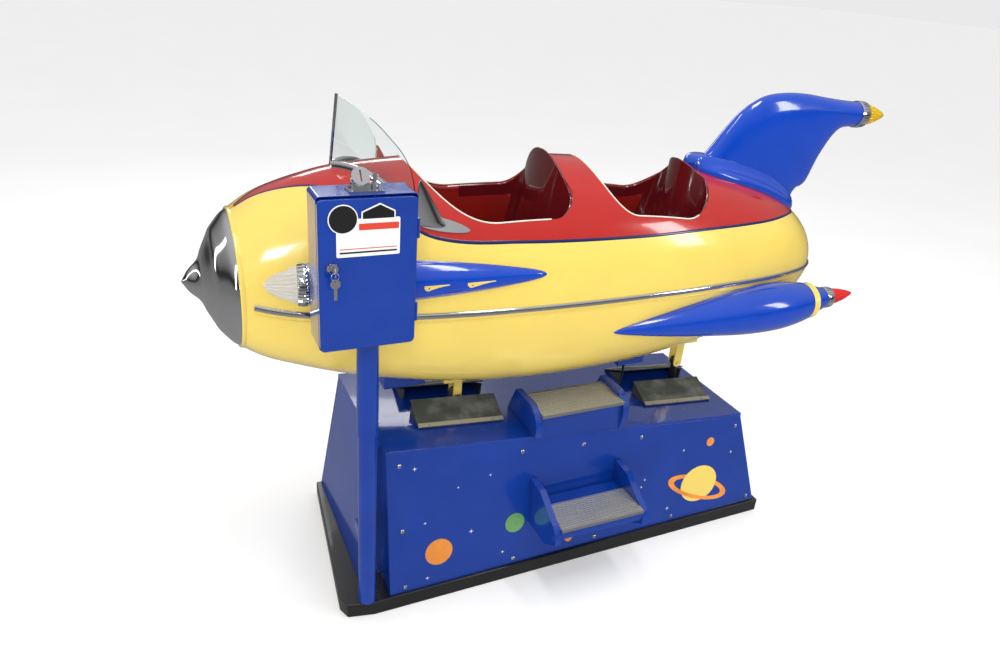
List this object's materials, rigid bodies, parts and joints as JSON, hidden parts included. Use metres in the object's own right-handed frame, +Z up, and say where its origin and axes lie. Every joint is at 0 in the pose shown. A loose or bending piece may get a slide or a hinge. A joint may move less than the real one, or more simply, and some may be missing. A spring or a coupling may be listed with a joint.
{
  "type": "coin-operated rocking rocket ride",
  "caption": "Child-size rocket ship with open cockpits that rocks on a painted cabinet base, with steps and a coin box on a post.",
  "frame": {"origin": "middle of the plinth's underside, in the plane the ship is symmetric about", "axes": "+X from nose to tail, +Y away from the coin box, +Z up"},
  "size_m": [2.4573, 0.7978, 1.538],
  "materials": {
    "black_paint": "semi-gloss",
    "blue_paint": "gloss",
    "frame_paint": "satin",
    "yellow_paint": "gloss",
    "yellow_shell": "gloss",
    "red_shell": "gloss",
    "blue_shell": "gloss",
    "maroon_shell": "gloss",
    "ribbed_tread": "satin",
    "strip_aluminium": "satin",
    "chrome": "polished",
    "steel": "satin",
    "motor_cast": "painted satin",
    "flap_rubber": "matte",
    "cable_rubber": "satin",
    "black_plastic": "gloss",
    "grey_plastic": "matte",
    "white_plate": "satin",
    "clear_pane": "clear",
    "clear_lens": "ribbed clear",
    "red_lens": "ribbed",
    "yellow_lens": "ribbed",
    "black_board": "painted semi-gloss",
    "blue_board": "painted gloss"
  },
  "bodies": {
    "base": {"plinth": "black_board", "cabinet_frame": "frame_paint", "front_panel": "blue_board", "rear_panel": "blue_board", "left_end_panel": "blue_board", "right_end_panel": "blue_board", "corner_recess": "blue_board", "top_deck": "blue_board", "panel_screws": "chrome", "upper_step_housing": "blue_board", "upper_step_tread": "ribbed_tread", "lower_step_housing": "blue_board", "lower_step_tread": "ribbed_tread", "slot_brackets": "frame_paint", "rubber_flaps": "flap_rubber", "flap_strips": "strip_aluminium", "front_upright": "frame_paint", "gearmotor": "motor_cast", "control_box": "grey_plastic", "post_column": "blue_paint", "post_tube": "blue_paint", "coin_box_case": "blue_paint", "coin_entry": "chrome", "coin_mechanism": "steel", "cash_box": "steel", "power_cable": "cable_rubber"},
    "crank": {"crank_arm": "steel"},
    "ship": {"hull_lower": "yellow_shell", "hull_deck": "red_shell", "nose_cap": "chrome", "belt_trim": "chrome", "keel_blocks": "blue_board", "front_fork": "yellow_paint", "front_pivot_pin": "steel", "rear_clevis": "yellow_paint", "front_cockpit_tub": "maroon_shell", "rear_cockpit_tub": "maroon_shell", "front_seat": "maroon_shell", "rear_seat": "maroon_shell", "steering_column": "frame_paint", "rear_grab_bar": "chrome", "windshield_panes": "clear_pane", "windshield_frame": "chrome", "windshield_brackets": "chrome", "headlamp_lenses": "clear_lens", "headlamp_bezels": "chrome", "side_pods": "blue_shell", "engine_pods": "blue_shell", "engine_bezels": "chrome", "engine_lenses": "red_lens", "tail_fin": "blue_shell", "fin_saddle": "blue_shell", "tail_lamp": "yellow_lens"},
    "rod": {"drive_rod": "black_paint"},
    "wheel": {"steering_wheel": "black_plastic"},
    "door": {"coin_box_door": "blue_paint", "price_plate": "white_plate"},
    "lock": {"door_lock": "chrome"},
    "key": {"hanging_key": "chrome"},
    "plunger": {"coin_return_plunger": "chrome"}
  },
  "joints": [
    {"name": "ship_rock", "type": "hinge", "parent": "base", "child": "ship", "pos_m": [-0.387, 0, 0.556], "axis": [0, 1, 0], "range_deg": [-3, 3], "deforming": ["power_cable"]},
    {"name": "rod_swing", "type": "hinge", "parent": "ship", "child": "rod", "pos_m": [0.515, 0, 0.545], "axis": [0, 1, 0], "range_deg": [-3.2, 3.2]},
    {"name": "crank_turn", "type": "hinge", "parent": "base", "child": "crank", "pos_m": [0.515, 0, 0.215], "axis": [0, 1, 0], "range_deg": [-45, 45]},
    {"name": "steering_turn", "type": "hinge", "parent": "ship", "child": "wheel", "pos_m": [-0.47, 0, 1.03], "axis": [-0.9397, 0, -0.342], "range_deg": [-60, 60]},
    {"name": "coin_door_swing", "type": "hinge", "parent": "base", "child": "door", "pos_m": [-0.669, -0.3826, 1.16], "axis": [0, 0, 1], "range_deg": [0, 110]},
    {"name": "lock_turn", "type": "hinge", "parent": "door", "child": "lock", "pos_m": [-0.88, -0.389, 1.194], "axis": [0, 1, 0], "range_deg": [0, 90]},
    {"name": "key_swing", "type": "hinge", "parent": "lock", "child": "key", "pos_m": [-0.88, -0.4216, 1.194], "axis": [0, 1, 0], "range_deg": [-30, 30]},
    {"name": "coin_return_push", "type": "slide", "parent": "base", "child": "plunger", "axis": [0, 0, -1], "range_m": [0, 0.012], "stiffness_N_per_m": 300}
  ],
  "couplings": [
    {"joint": "rod_swing", "follows": "ship_rock", "ratio": -1},
    {"joint": "crank_turn", "follows": "ship_rock", "ratio": 13.7}
  ]
}
